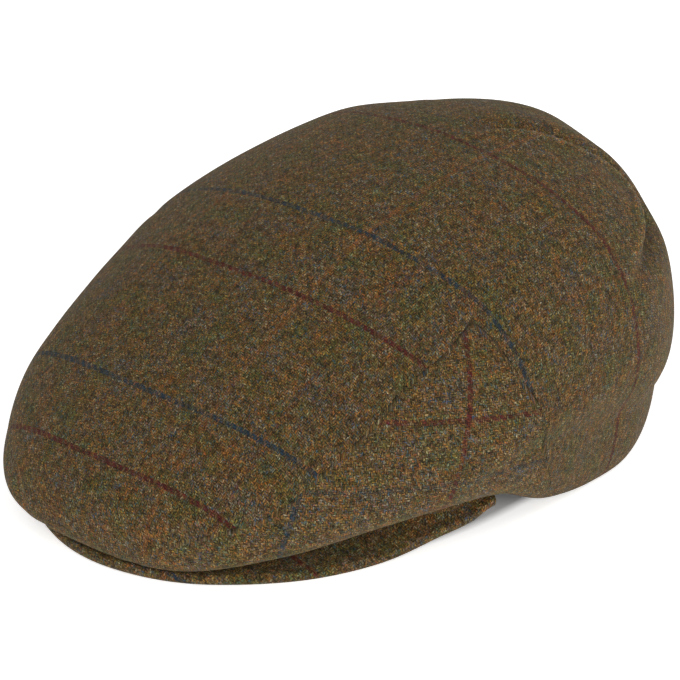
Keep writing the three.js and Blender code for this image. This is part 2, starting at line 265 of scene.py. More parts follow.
def bump(x, middle, width):
    return np.exp(-(((x - middle) / width) ** 2))


def dome_height(x, y):
    return (
        DOME_MIDDLE + DOME_RISE * y + DOME_BEND * y * y
        + DOME_SIDE_BEND * x * x + DOME_TWIST * y ** 3
    )


def tuck_push(at, share):
    """Inward push of the side tuck: steeper above the crease, fading down to the rim."""
    depth = TUCK_DEPTH * column(TUCK_ROWS, "depth", at)
    crease = column(TUCK_ROWS, "share", at)
    below = (crease - share) / crease
    under = depth * (1 - np.maximum(below, 0)) ** TUCK_FADE
    swell = TUCK_SWELL * depth * bump(share, crease + TUCK_SWELL_ABOVE, TUCK_SWELL_WIDTH)
    over = depth * bump(below, 0, TUCK_ABOVE_WIDTH) - swell
    return np.where(below >= 0, under, over)


def dent_push(signed, share):
    rows = zip(*(DENT_ROWS[name] for name in ("at", "share", "depth", "wide", "tall")))
    return sum(
        depth * bump(signed, at, wide) * bump(share, up, tall) for at, up, depth, wide, tall in rows
    )


def far_corner_droop(signed, share):
    """How far the soft far front corner hangs out, low down."""
    return FAR_CORNER_DROOP * bump(signed, *DROOPING_CORNER) * bump(share, *DROOP_UP)


def seam_share(angle):
    """Share where the seam crosses a direction, 0 outside the side panel."""
    at = from_front(angle)
    share = np.where(
        at < SEAM_APEX,
        column(FRONT_SEAM_ROWS, "share", at, level=False),
        column(REAR_SEAM_ROWS, "share", at, level=False),
    )
    return np.where((at > SEAM_START) & (at < SEAM_END), np.maximum(share, 0), 0)


def seam_distance(angle, share):
    """Rough distance in the cloth from a point of the crown to the nearer seam, in mm."""
    seam_at = np.linspace(SEAM_START, SEAM_END, SEAM_PLACES)
    around = np.radians(from_front(angle)[..., None] - seam_at) * SIDE_REACH
    up = (share[..., None] - seam_share(seam_at)) * SIDE_COLUMN_LENGTH
    return np.sqrt((around ** 2 + up ** 2).min(-1))


def slack(x, y, z):
    """Soft unevenness of a hand-pressed cloth surface, from -1 to 1."""
    a = np.sin(x / 17.0 + 1.3 * np.sin(y / 23.0 + 0.7) + 0.4)
    b = np.sin(y / 14.0 + 1.1 * np.sin(z / 15.0 + x / 31.0) + 2.1)
    c = np.sin(z / 9.0 + 0.9 * np.sin(x / 12.0 - y / 19.0) + 4.0)
    return (a * b + 0.6 * c * a + 0.5 * b * c) / 2.1


def pushed_point(angle, share, push):
    """A point of the crown's outer face, pushed inward: share is the way from rim to apex."""
    at = from_front(angle)
    far = FAR_CORNER_FULLNESS * bump(signed_from_front(angle), *FULL_CORNER)
    rim = CROWN_REACH * column(CROWN_ROWS, "rim", at) + far
    belly = CROWN_REACH * column(CROWN_ROWS, "belly", at) + far
    rim_up = CROWN_HEIGHT * np.maximum(column(CROWN_ROWS, "rim_up", at), 0)
    belly_up = CROWN_HEIGHT * column(CROWN_ROWS, "belly_up", at)
    full = column(CROWN_ROWS, "full", at)
    side, ahead = np.sin(np.radians(angle)), -np.cos(np.radians(angle))
    # from the rim out to the belly
    turn = np.clip(share / BELLY_SHARE, 0, 1) * math.pi / 2
    climb = np.clip((share - HEM_SHARE) / (BELLY_SHARE - HEM_SHARE), 0, 1) * math.pi / 2
    low_reach = rim + (belly - rim) * np.sin(turn) - push
    low_up = rim_up + (belly_up - rim_up) * (1 - np.cos(climb))
    # from the belly up to the apex
    turn = np.clip((share - BELLY_SHARE) / (1 - BELLY_SHARE), 0, 1) * math.pi / 2
    inward = np.maximum(np.cos(turn), 0) ** (2 / full)
    upward = np.sin(turn) ** (2 / full)
    reach = belly * inward
    dome = dome_height(reach * side, reach * ahead)
    high_reach = np.maximum(reach - push * inward, 0)
    high_up = belly_up + (dome - belly_up) * upward - push * upward
    low = share < BELLY_SHARE
    reach = np.where(low, low_reach, high_reach)
    up = np.where(low, low_up, high_up)
    return np.stack([reach * side, CROWN_CENTRE_Y + reach * ahead, up], -1)


def unit(vectors):
    return vectors / np.maximum(np.linalg.norm(vectors, axis=-1, keepdims=True), 1e-9)


# Places along the ridge of the back fold on the unfolded crown, the way it runs, its strength
RIDGE_STEPS = np.linspace(0, BACK_FOLD_ROWS["at"][-1], RIDGE_PLACES)
RIDGE = pushed_point(
    column(BACK_FOLD_ROWS, "turn", RIDGE_STEPS), column(BACK_FOLD_ROWS, "share", RIDGE_STEPS), 0
)
RIDGE_RUN = unit(np.gradient(RIDGE, axis=0))
RIDGE_DEPTH = column(BACK_FOLD_ROWS, "depth", RIDGE_STEPS)
CROWN_INSIDE = np.array([0, CROWN_CENTRE_Y, CROWN_HEIGHT * 0.3])


def across_back_fold(angle, share):
    """How far each point lies behind the fold's ridge, in fold widths, and its strength there."""
    at = from_front(angle)
    near = at > BACK_FOLD_FROM
    place = pushed_point(angle, share, 0)[near]
    place[:, 0] = np.abs(place[:, 0])
    gaps = np.linalg.norm(place[:, None] - RIDGE, axis=-1)
    k = gaps.argmin(-1)
    along = RIDGE_RUN[k]
    off = place - RIDGE[k]
    off = off - along * (off * along).sum(-1, keepdims=True)
    side = -np.sign((np.cross(along, off) * (RIDGE[k] - CROWN_INSIDE)).sum(-1))
    behind, strength = np.zeros(at.shape), np.zeros(at.shape)
    behind[near] = side * np.linalg.norm(off, axis=-1) / BACK_FOLD_WIDTH
    shows = np.where(signed_from_front(angle) > 0, 1, FAR_FOLD_SHARE * bump(at, *FAR_FOLD))
    strength[near] = shows[near] * RIDGE_DEPTH[k]
    return behind, strength


def back_fold_push(angle, share):
    """Inward push of the back fold: a low ridge, a valley behind it and a bulge behind that."""
    behind, strength = across_back_fold(angle, share)
    valley = bump(behind, *FOLD_VALLEY)
    ridge = FOLD_RIDGE_SHARE * bump(behind, *FOLD_RIDGE)
    bulge = FOLD_BULGE_SHARE * bump(behind, *FOLD_BULGE)
    crease = FOLD_SHARPNESS * (bump(behind, *SHARP_HOLLOW) - bump(behind, *SHARP_CREST))
    return BACK_FOLD_DEPTH * strength * (valley - ridge - bulge + crease)


def fold_painted_light(angle, share):
    """Painted light on the cloth: a painted highlight along the back fold's ridge and painted shade
    in its valley.
    """
    angle, share = np.broadcast_arrays(np.asarray(angle, float), np.asarray(share, float))
    behind, strength = across_back_fold(angle, share)
    pale, dark = bump(behind, *PAINTED_HIGHLIGHT_BAND), bump(behind, *PAINTED_SHADE_BAND)
    return 1 + strength * (FOLD_PAINTED_HIGHLIGHT * pale - FOLD_PAINTED_SHADE * dark)


def crown_point(angle, share):
    """A point of the crown's outer face, with its folds."""
    angle, share = np.broadcast_arrays(np.asarray(angle, float), np.asarray(share, float))
    at = from_front(angle)
    signed = signed_from_front(angle)
    folds = tuck_push(at, share) + back_fold_push(angle, share) + dent_push(signed, share)
    return pushed_point(angle, share, folds - far_corner_droop(signed, share))


def crown_normal(angle, share):
    """Outward direction of the crown's outer face, straight up at the apex."""
    near = np.minimum(share, 0.985)
    low = np.maximum(near - SHARE_STEP, 0)
    high = np.minimum(near + SHARE_STEP, 1)
    around = crown_point(angle + ANGLE_STEP, near) - crown_point(angle - ANGLE_STEP, near)
    upwards = crown_point(angle, high) - crown_point(angle, low)
    normal = unit(np.cross(around, upwards))
    return np.where((share > 0.999)[..., None], np.array([0, 0, 1.0]), normal)


def worn_crown(angle, share):
    """The crown's outer face and its normals, with the seams' dip and pucker and a little slack."""
    point = crown_point(angle, share)
    normal = crown_normal(angle, share)
    off = seam_distance(angle, share)
    run = point[..., 0] + PUCKER_SLANT * point[..., 1]
    ripple = np.sin(2 * math.pi * run / PUCKER_PITCH)
    out = -SEAM_DIP * bump(off, 0, SEAM_DIP_WIDTH)
    out = out + PUCKER_DEPTH * ripple * np.exp(-off / PUCKER_REACH)
    out = out + SLACK_DEPTH * slack(point[..., 0], point[..., 1], point[..., 2])
    # the hem stays even
    out = out * np.clip(share / 0.08, 0, 1)
    return point + normal * out[..., None], normal


def down_column(angle, share):
    """Direction in the cloth from a point of the crown down its column."""
    return unit(crown_point(angle, share) - crown_point(angle, share + SHARE_STEP))


def off_seam(angle):
    """Direction in the cloth square to the seam, pointing down and away from the top panel."""
    # shorter steps at the apex, so that they don't reach over it
    step, apex_step = 0.15, 0.02
    reach = np.where(np.abs(from_front(angle) - SEAM_APEX) < step, apex_step, step)
    before = crown_point(angle - reach, seam_share(angle - reach))
    after = crown_point(angle + reach, seam_share(angle + reach))
    square = unit(np.cross(unit(after - before), crown_normal(angle, seam_share(angle))))
    down = down_column(angle, seam_share(angle))
    return square * np.sign((square * down).sum(-1, keepdims=True))


def rolled_edge(point, normal, outward, wall, reach):
    """Rows that carry a wall's outer face round its edge to its inner face.

    point is the wall's outer corner, outward the way the edge faces, reach how far the round runs.
    """
    reach = np.broadcast_to(reach, point.shape[:-1])[:, None]
    centre = point - normal * wall / 2 - outward * reach
    turns = np.linspace(0, math.pi, ROLL_STEPS + 1)
    rows = [centre + normal * wall / 2 * math.cos(a) + outward * reach * math.sin(a) for a in turns]
    return np.stack(rows)


# Shape of the peak and of the cloth turned under the lip

def peak_root_reach(angle):
    side = np.sin(np.radians(angle)) / PEAK_ROOT_HALF_WIDTH
    ahead = np.cos(np.radians(angle)) / PEAK_ROOT_DEPTH
    return 1 / np.hypot(side, ahead)


def peak_edge_reach(angle):
    far = PEAK_CORNER_SHARE * FAR_CORNER_FULLNESS * bump(angle, *PEAK_CORNER)
    return CROWN_REACH * column(PEAK_ROWS, "reach", from_front(angle)) + far


def peak_height(angle, share, up):
    """Height of the peak, up mm above its underside: share is the way from root to edge."""
    rise = PEAK_ROOT_RISE * np.cos(np.radians(angle * PEAK_RISE_SPREAD))
    rise = rise * np.maximum(1 - share, 0) ** PEAK_RISE_FADE
    return column(PEAK_ROWS, "under", from_front(angle)) + np.maximum(rise, 0) + up


def on_ray(angle, reach, z):
    """The point at a reach and height in one direction from the crown's middle."""
    x = reach * np.sin(np.radians(angle))
    y = CROWN_CENTRE_Y - reach * np.cos(np.radians(angle))
    return np.stack(np.broadcast_arrays(x, y, z), -1)


# Making meshes

MERGE_DISTANCE = 2e-6


def clear_selection():
    if bpy.context.mode != "OBJECT":
        bpy.ops.object.mode_set(mode="OBJECT")
    bpy.ops.object.select_all(action="DESELECT")


def cloth_grid(name, points, maps):
    """A grid primitive laid onto rows and columns of points, closed where they meet.

    points is rows by columns by 3, and maps holds two numbers for each point, by the map's name.
    """
    rows, columns = points.shape[:2]
    clear_selection()
    bpy.ops.mesh.primitive_grid_add(
        x_subdivisions=columns - 1, y_subdivisions=rows - 1, size=1, location=(0, 0, 0)
    )
    piece = bpy.context.object
    piece.name = name
    mesh = piece.data
    mesh.name = name
    settled = (points + SETTLED) * MM
    mesh.vertices.foreach_set("co", settled.reshape(-1).astype(np.float32))
    corners = np.empty(len(mesh.loops), np.int32)
    mesh.loops.foreach_get("vertex_index", corners)
    while mesh.uv_layers:
        mesh.uv_layers.remove(mesh.uv_layers[0])
    for label, values in maps.items():
        layer = mesh.uv_layers.new(name=label)
        flat = values.reshape(-1, 2)[corners].astype(np.float32)
        layer.uv.foreach_set("vector", flat.reshape(-1))
    mesh.update()
    bpy.ops.object.mode_set(mode="EDIT")
    bpy.ops.mesh.select_all(action="SELECT")
    bpy.ops.mesh.remove_doubles(threshold=MERGE_DISTANCE)
    bpy.ops.mesh.dissolve_degenerate(threshold=MERGE_DISTANCE)
    bpy.ops.mesh.select_all(action="DESELECT")
    bpy.ops.mesh.select_mode(type="EDGE")
    bpy.ops.mesh.select_non_manifold(
        extend=False, use_wire=False, use_boundary=True, use_multi_face=False,
        use_non_contiguous=False, use_verts=False,
    )
    bpy.ops.mesh.edge_face_add()
    bpy.ops.mesh.select_all(action="SELECT")
    bpy.ops.mesh.normals_make_consistent(inside=False)
    bpy.ops.object.mode_set(mode="OBJECT")
    return piece


def finish_piece(piece, node, material):
    """Smooths a piece, gives it its cloth, and stands it in for its node."""
    clear_selection()
    piece.select_set(True)
    bpy.context.view_layer.objects.active = piece
    bpy.ops.object.shade_smooth()
    piece.data.materials.clear()
    piece.data.materials.append(material)
    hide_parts(node)
    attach(piece, "root")
    return piece


# Where the model lies

def measure_settling():
    """The small move along y that puts the crown's back, at its belly, on the back of the solids'
    box.
    """
    back = crown_point(180, BELLY_SHARE)
    return np.array([0, cad_high.y / MM - back[1], 0])


SETTLED = measure_settling()


# Cloth maps: where each point of a piece lay in the flat cloth, in mm

# How the check leans and climbs on the side panels, and how it bows across the top
SIDE_LEAN = 0.31
SIDE_CLIMB = 0.112
CHECK_BOW = 0.0018
CHECK_BOW_REACH = 75
# How far the far side panel's check lies from the near one's
FAR_PANEL_CHECK = (13.0, 7.0)
# How far the cloth may be taken to stretch under the check's lines
SCALE_LIMITS = (0.3, 2.2)


def arc_from_apex(angle, share):
    """Length of cloth from the crown's apex down to each point of a column."""
    steps = np.linspace(0, 1, COLUMN_PLACES)
    line = crown_point(angle[None, :], steps[:, None])
    legs = np.linalg.norm(np.diff(line, axis=0), axis=-1)
    run = np.vstack([np.zeros(legs.shape[1]), np.cumsum(legs, axis=0)])
    out = np.empty(share.shape)
    for k in range(share.shape[1]):
        out[:, k] = run[-1, k] - np.interp(share[:, k], steps, run[:, k])
    return out


def map_scale(point, check):
    """How fast the check's two coordinates run over the cloth, in mm for each mm.

    It keeps the check's lines equally wide all over the curved cloth.
    """
    down = np.gradient(point, axis=0)
    across = np.gradient(point, axis=1)
    aa = (down * down).sum(-1)
    bb = (across * across).sum(-1)
    ab = (down * across).sum(-1)
    area = np.maximum(aa * bb - ab * ab, 1e-4 * aa * bb + 1e-12)
    scale = []
    for k in range(2):
        c = np.gradient(check[..., k], axis=0)
        d = np.gradient(check[..., k], axis=1)
        scale.append(np.sqrt(np.maximum((c * c * bb - 2 * c * d * ab + d * d * aa) / area, 0)))
    return np.clip(np.stack(scale, -1), *SCALE_LIMITS)


def top_maps(angle, share):
    """Maps of the top: the weave unrolls down each column, the check runs straight over it."""
    arc = arc_from_apex(angle, share)
    turn = np.radians(angle)[None, :]
    weave = np.stack([arc * np.sin(turn), -arc * np.cos(turn)], -1)
    point = crown_point(angle[None, :], share)
    plan = point[..., :2] - np.array([0, CROWN_CENTRE_Y])
    reach = np.linalg.norm(plan, axis=-1)
    stretch = np.where(reach < 1, 1, np.sqrt(arc / np.maximum(reach, 1)))
    check = plan * stretch[..., None]
    check[..., 1] -= CHECK_BOW * np.minimum(np.abs(check[..., 0]), CHECK_BOW_REACH) ** 2
    # The back fold's painted highlight and painted shade, which the cloth's colour is multiplied by
    shade = fold_painted_light(angle[None, :], share)
    return {
        "weave": weave, "check": check, "scale": map_scale(point, check),
        "shade": np.stack([shade, shade], -1),
    }


def belly_run(angle):
    """Length of the belly's curve from the front round to a direction."""
    steps = np.linspace(0, 180, BELLY_PLACES)
    curve = crown_point(steps, BELLY_SHARE)[:, :2]
    run = np.concatenate([[0], np.cumsum(np.linalg.norm(np.diff(curve, axis=0), axis=-1))])
    return np.interp(from_front(angle), steps, run)


def side_maps(side, angle, share):
    """Maps of a side panel, with its cloth and its check running along the belly."""
    point = crown_point(angle[None, :], share)
    run = np.broadcast_to(belly_run(angle)[None, :], share.shape)
    belly = np.full_like(share, BELLY_SHARE)
    up = crown_point(angle, BELLY_SHARE)[None, :, 2]
    up = up + arc_from_apex(angle, belly) - arc_from_apex(angle, share)
    weave = np.stack([run - SIDE_CLIMB * up, up + SIDE_CLIMB * run], -1)
    check = np.stack([run - SIDE_LEAN * point[..., 2], point[..., 2] + SIDE_CLIMB * run], -1)
    if side < 0:
        check = check + np.array(FAR_PANEL_CHECK)
    return {
        "weave": weave, "check": check, "scale": map_scale(point, check),
        "shade": np.ones_like(check),
    }


def plain_maps(plan):
    """Maps of a piece whose cloth lies nearly flat, from its places in plan."""
    ones = np.ones_like(plan)
    return {"weave": plan, "check": plan, "scale": ones, "shade": ones}


def turned_maps(maps, before, after):
    """Maps of a face, carried on round its edge and back along its inner side.

    before and after are the rows of the roll at the start and at the end of the face.
    """
    out = {}
    for label, face in maps.items():
        start, end = face[:1], face[-1:]
        on = end - face[-2:-1] if label == "weave" else 0 * end
        size = np.linalg.norm(on, axis=-1, keepdims=True)
        on = on / np.maximum(size, 1e-6) * math.pi / max(after, 1)
        roll = np.concatenate([end + on * k for k in range(after)])
        inner = face[::-1]
        parts = [face, roll, inner]
        if before:
            parts.append(np.repeat(start, before, axis=0))
        out[label] = np.concatenate(parts)
    return out


# Pieces of the cap

def directions(stretches):
    """Degrees from the front, in even stretches (from, to, step)."""
    return np.concatenate([np.arange(*stretch) for stretch in stretches])


def all_round():
    """Directions of the top's columns, from the back round by the front to the back."""
    half = np.append(directions(TOP_GRID_COLUMNS), 180)
    return np.concatenate([-half[:0:-1], half])


# Degrees in which the top's edge turns from facing down its column to facing off the seam
SEAM_BLEND = 2


def edge_direction(angle):
    """The way the top's edge faces: down its column, or square to the seam along a side panel."""
    at = from_front(angle)
    started = np.clip((at - SEAM_START) / SEAM_BLEND, 0, 1)
    unfinished = np.clip((SEAM_END - at) / SEAM_BLEND, 0, 1)
    inside = (started * unfinished)[:, None]
    down = down_column(angle, seam_share(angle))
    return unit(down * (1 - inside) + off_seam(angle) * inside)


def first_step(angle, outward, depth):
    """Share of a column that is depth mm in from its edge, measured square to the edge."""
    share = seam_share(angle)
    step, least = 0.01, 0.12
    leg = crown_point(angle, share + step) - crown_point(angle, share)
    return step * depth / np.maximum(-(leg * outward).sum(-1), least)


def top_panel(material):
    """The one-piece top, from the apex out to the seams, the lip and the rim."""
    angle = all_round()
    edge = seam_share(angle)
    outward = edge_direction(angle)
    start = edge + first_step(angle, outward, EDGE_ROW_DEPTH)
    # from the apex outwards, with a small first ring
    rows = np.append(1, 1 - np.linspace(0.012, 1, TOP_GRID_ROWS) ** 0.93)
    share = start + (1 - start) * rows[:, None]
    face, normal = worn_crown(np.broadcast_to(angle, share.shape), share)
    at = from_front(angle)
    sewn = (at > SEAM_START) & (at < SEAM_END)
    gap = np.where(sewn, SEAM_GAP / 2, 0)[:, None]
    corner, square = worn_crown(angle, edge)
    edge_round = np.where(sewn, SEAM_ROUND, HEM_ROUND)
    roll = rolled_edge(corner - outward * gap, square, outward, CLOTH_WALL, edge_round)
    points = np.concatenate([face, roll, (face - normal * CLOTH_WALL)[::-1]])
    maps = turned_maps(top_maps(angle, share), 0, len(roll))
    piece = cloth_grid("top_panel_cloth", points, maps)
    return finish_piece(piece, "top_panel", material)


def side_panel(side, name, material):
    """A comma-shaped side panel, from the lip and the rim up to the seam."""
    angle = side * directions(SIDE_GRID_COLUMNS)
    edge = seam_share(angle)
    outward = -off_seam(angle)
    rim_arc = arc_from_apex(angle, np.zeros((1, len(angle))))[0]
    height = rim_arc - arc_from_apex(angle, edge[None, :])[0]
    # where the panel runs out to its corners, less than 6 mm high, its edges are finer
    soft = np.clip(height / 6, 0.12, 1)
    step = np.minimum(first_step(angle, -outward, -EDGE_ROW_DEPTH * soft), edge * 0.4)
    top, bottom = edge - step, np.minimum(0.02, edge * 0.2)
    rows = np.linspace(1, 0, SIDE_GRID_ROWS)[:, None]
    share = bottom + (top - bottom) * rows
    face, normal = worn_crown(np.broadcast_to(angle, share.shape), share)
    hem, hem_normal = worn_crown(angle, np.zeros_like(angle))
    down = down_column(angle, np.zeros_like(angle))
    hem_roll = rolled_edge(hem, hem_normal, down, CLOTH_WALL, soft * HEM_ROUND)
    corner, square = worn_crown(angle, edge)
    corner = corner - outward * SEAM_GAP / 2
    seam_roll = rolled_edge(corner, square, outward, CLOTH_WALL, soft * SEAM_ROUND)
    inner = (face - normal * CLOTH_WALL)[::-1]
    points = np.concatenate([face, hem_roll, inner, seam_roll[::-1], face[:1]])
    maps = turned_maps(side_maps(side, angle, share), len(seam_roll) + 1, len(hem_roll))
    piece = cloth_grid(name + "_cloth", points, maps)
    return finish_piece(piece, name, material)


def closed_section(face, normal, start_out, end_out, wall, start_round, end_round):
    """A closed outline: along a face, round its far edge, back under it, round its near edge."""
    far = rolled_edge(face[-1] + end_out * end_round, normal[-1], end_out, wall, end_round)
    near = rolled_edge(face[0] + start_out * start_round, normal[0], start_out, wall, start_round)
    under = (face - normal * wall)[::-1]
    return np.concatenate([face, far[1:-1], under, near[::-1][1:-1], face[:1]])


def section_run(points):
    """Length of the outline from its first row to each row."""
    legs = np.linalg.norm(np.diff(points, axis=0), axis=-1)
    return np.vstack([np.zeros(points.shape[1]), np.cumsum(legs, axis=0)])


def peak(material):
    """The peak: a stiff board covered in cloth, with a soft rounded edge."""
    angle = np.linspace(-PEAK_HALF_TURN, PEAK_HALF_TURN, PEAK_GRID_COLUMNS)
    share = np.linspace(0, 1, PEAK_GRID_ROWS)[:, None]
    root = peak_root_reach(angle)
    edge = peak_edge_reach(angle)
    reach = root + (edge - root) * share
    z = peak_height(angle, share, PEAK_THICKNESS)
    face = on_ray(angle, reach, z)
    x, y = face[..., 0] * PEAK_SLACK_CLOSENESS, face[..., 1] * PEAK_SLACK_CLOSENESS
    face[..., 2] += PEAK_SLACK_DEPTH * slack(x, y, face[..., 2]) - PEAK_SLACK_SINK
    outward = on_ray(angle, 1, 0) - on_ray(angle, 0, 0)
    upward = np.broadcast_to([0, 0, 1.0], face.shape)
    points = closed_section(
        face, upward, -outward, outward, PEAK_THICKNESS, PEAK_ROOT_ROUND, PEAK_EDGE_ROUND
    )
    run = section_run(points)
    plan = on_ray(angle, root + run, 0)[..., :2]
    piece = cloth_grid("peak_cloth_and_board", points, plain_maps(plan))
    return finish_piece(piece, "peak", material)


# How the facing keeps off the lip's edge and underside, the peak's top, and its root and edge
FACING_UNDERLAP = 1.2
FACING_DROP = 0.4
FACING_REST = 0.5
FACING_MARGIN = 1.6
FACING_ROUND = 0.4


def lip_facing(material):
    """The crown's cloth turned under the lip and run back to the peak."""
    angle = np.linspace(-FACING_HALF_TURN, FACING_HALF_TURN, FACING_GRID_COLUMNS)
    lip = crown_point(angle, np.zeros_like(angle))
    lip_reach = np.hypot(lip[:, 0], lip[:, 1] - CROWN_CENTRE_Y)
    root, edge = peak_root_reach(angle), peak_edge_reach(angle)
    sewn = np.clip(lip_reach - FACING_DEPTH, root + FACING_MARGIN, edge - FACING_MARGIN)
    wall = CLOTH_WALL / 2

    def over_peak(reach):
        top = peak_height(angle, (reach - root) / (edge - root), PEAK_THICKNESS)
        return top + FACING_REST + wall

    start = lip_reach - FACING_UNDERLAP
    low = over_peak(sewn)
    # at its ends the facing runs outwards from the peak's root, so there it starts below the lip
    high = np.where(sewn < start, lip[:, 2] + 1.5 * wall, lip[:, 2] - FACING_DROP)
    share = np.linspace(0, 1, FACING_GRID_ROWS)[:, None]
    reach = start + (sewn - start) * share
    z = np.maximum(high + (low - high) * share, over_peak(reach))
    face = on_ray(angle, reach, z)
    outward = on_ray(angle, 1, 0) - on_ray(angle, 0, 0)
    upward = np.broadcast_to([0, 0, 1.0], face.shape)
    points = closed_section(face, upward, outward, -outward, wall, FACING_ROUND, FACING_ROUND)
    plan = on_ray(angle, start + section_run(points), 0)[..., :2]
    piece = cloth_grid("lip_facing_cloth", points, plain_maps(plan))
    return finish_piece(piece, "lip_facing", material)


# Materials

class Value:
    """A socket of a material, on which sums are written as in Python."""

    def __init__(self, shader, socket):
        self.shader = shader
        self.socket = socket

    def sum(self, operation, *terms):
        return self.shader.node("ShaderNodeMath", {"operation": operation}, dict(enumerate(terms)))

    def __add__(self, other):
        return self.sum("ADD", self, other)

    def __sub__(self, other):
        return self.sum("SUBTRACT", self, other)

    def __rsub__(self, other):
        return self.sum("SUBTRACT", other, self)

    def __mul__(self, other):
        return self.sum("MULTIPLY", self, other)

    def __truediv__(self, other):
        return self.sum("DIVIDE", self, other)

    def __mod__(self, other):
        return self.sum("FLOORED_MODULO", self, other)

    def __lt__(self, other):
        return self.sum("LESS_THAN", self, other)

    def __abs__(self):
        return self.sum("ABSOLUTE", self)

    __radd__ = __add__
    __rmul__ = __mul__


class Shader:
    """A material whose nodes are added one by one."""

    def __init__(self, name):
        self.material = bpy.data.materials.new(name)
        self.material.use_nodes = True
        self.tree = self.material.node_tree
        self.tree.nodes.clear()

    def node(self, kind, settings, inputs, output=0):
        """Adds a node: its settings first, then the values or links of its sockets.

        The numbered output is handed back, or nothing where the node has none.
        """
        made = self.tree.nodes.new(kind)
        stops = settings.pop("stops", None)
        for name, value in settings.items():
            setattr(made, name, value)
        if stops:
            self.set_stops(made.color_ramp, stops)
        for name, value in inputs.items():
            socket = made.inputs[name]
            if isinstance(value, Value):
                self.tree.links.new(value.socket, socket)
            else:
                socket.default_value = value
        return Value(self, made.outputs[output]) if len(made.outputs) else None

    def set_stops(self, ramp, stops):
        ramp.interpolation = "LINEAR"
        while len(ramp.elements) > 1:
            ramp.elements.remove(ramp.elements[-1])
        for k, (place, colour) in enumerate(stops):
            stop = ramp.elements[0] if k == 0 else ramp.elements.new(place)
            stop.position = place
            stop.color = colour

    def mix(self, factor, a, b, blend="MIX"):
        """Colour a turning to b."""
        settings = {"data_type": "RGBA", "blend_type": blend, "clamp_factor": True}
        return self.node("ShaderNodeMix", settings, {0: factor, 6: a, 7: b}, 2)

    def vector(self, x, y, z=0.0):
        return self.node("ShaderNodeCombineXYZ", {}, {0: x, 1: y, 2: z})

    def noise(self, vector, scale, detail=2.0, roughness=0.5):
        settings = {"noise_dimensions": "3D"}
        inputs = {"Vector": vector, "Scale": scale, "Detail": detail, "Roughness": roughness}
        return self.node("ShaderNodeTexNoise", settings, inputs)

    def at(self, map_name):
        """The two coordinates of a cloth map."""
        place = self.node("ShaderNodeUVMap", {"uv_map": map_name}, {})
        x = self.node("ShaderNodeSeparateXYZ", {}, {0: place}, 0)
        y = self.node("ShaderNodeSeparateXYZ", {}, {0: place}, 1)
        return x, y

    def floor(self, value):
        return value.sum("FLOOR", value)

    def sine(self, value):
        return value.sum("SINE", value)


def srgb(r, g, b):
    """A colour given as the screen shows it, in linear light."""
    def linear(c):
        c = c / 255
        return c / 12.92 if c <= 0.04045 else ((c + 0.055) / 1.055) ** 2.4
    return (linear(r), linear(g), linear(b), 1.0)


# The weave and the check's lines in mm, and how many yarns the weave wavers either way
YARN_PITCH = 0.85
CHECK_HALF_WIDTH = 0.95
WARP_WAVER = 2.4
WEFT_WAVER = 1.9

# Colours of the check's lines, of the ground between the flecks and of the nap
MAROON = srgb(76, 20, 24)
BLUE = srgb(22, 46, 62)
RUST = srgb(150, 82, 34)
COOL_GROUND = srgb(58, 56, 38)
WARM_GROUND = srgb(112, 80, 48)
SHEEN_TINT = srgb(214, 196, 168)

# Fibre colours of the tweed, as shares of the whole
FIBRES = (
    (0.00, srgb(22, 18, 13)),
    (0.14, srgb(44, 38, 24)),
    (0.26, srgb(92, 84, 42)),
    (0.37, srgb(104, 74, 44)),
    (0.47, srgb(52, 46, 32)),
    (0.56, srgb(138, 108, 52)),
    (0.65, srgb(138, 82, 40)),
    (0.73, srgb(44, 78, 96)),
    (0.81, srgb(80, 90, 50)),
    (0.87, srgb(78, 36, 30)),
    (0.94, srgb(122, 112, 88)),
    (1.00, srgb(150, 138, 106)),
)

# What the cloth's slow patches of hue multiply its colour by
GREENISH = (0.76, 1.0, 0.84, 1)
RUSTY = (1.16, 0.95, 0.74, 1)
SLATE = (0.82, 0.98, 1.35, 1)

# Soft patches over the cloth: how many in a mm, where in the noise they start, its detail
WAVER_PATCHES = (0.08, 0.0, 2.0)
GREEN_PATCHES = (0.085, 11.0, 3.0)
WARM_PATCHES = (0.075, 29.0, 3.0)
TINT_PATCHES = (0.45, 53.0, 2.0)
WEAR_PATCHES = (0.2, 17.0, 2.0)
MOTTLE_PATCHES = (0.34, 37.0, 2.0)

# Hairs of the nap: how many in a mm, detail and roughness of their noise
HAIRS = (2.2, 3.0, 0.75)

# Flecks for each yarn across it and along it, and their twist
FLECKS_ACROSS = 2.1
FLECKS_ALONG = 0.95
FLECK_TWIST = 0.5

# Changes of hue along a yarn, for each mm, and from one yarn to the next
STRAND_CHANGES = 0.06
WARP_STEP = 0.73
WEFT_STEP = 0.71

# How strongly flecks, hues, hairs, mottling and wear mark the cloth
FLECK_SHARE = 0.74
STRAND_CONTRAST = 2.4
TINT_CONTRAST = 4.5
HAIR_CONTRAST = 4.2
MOTTLE_CONTRAST = 2.0
WEAR_CONTRAST = 3.0
CROSSED_LINE_SHARE = 0.45
LINE_FLECK_SHARE = 0.12

# From what level the wide patches show, and how strongly
GREEN_FROM = 0.46
GREEN_CONTRAST = 5.0
WARM_FROM = 0.44
WARM_CONTRAST = 4.0
SLATE_BELOW = 0.47
SLATE_CONTRAST = 6.0

# Painted shade in the weave: how light a yarn is where it dips under another, and how much lighter
# on its raised back
PAINTED_YARN_DIP_LIGHT = 0.45
PAINTED_YARN_BACK_LIGHT = 0.66

# How far the yarns and the hairs stand out
YARN_RELIEF = 0.55
HAIR_RELIEF = 0.6


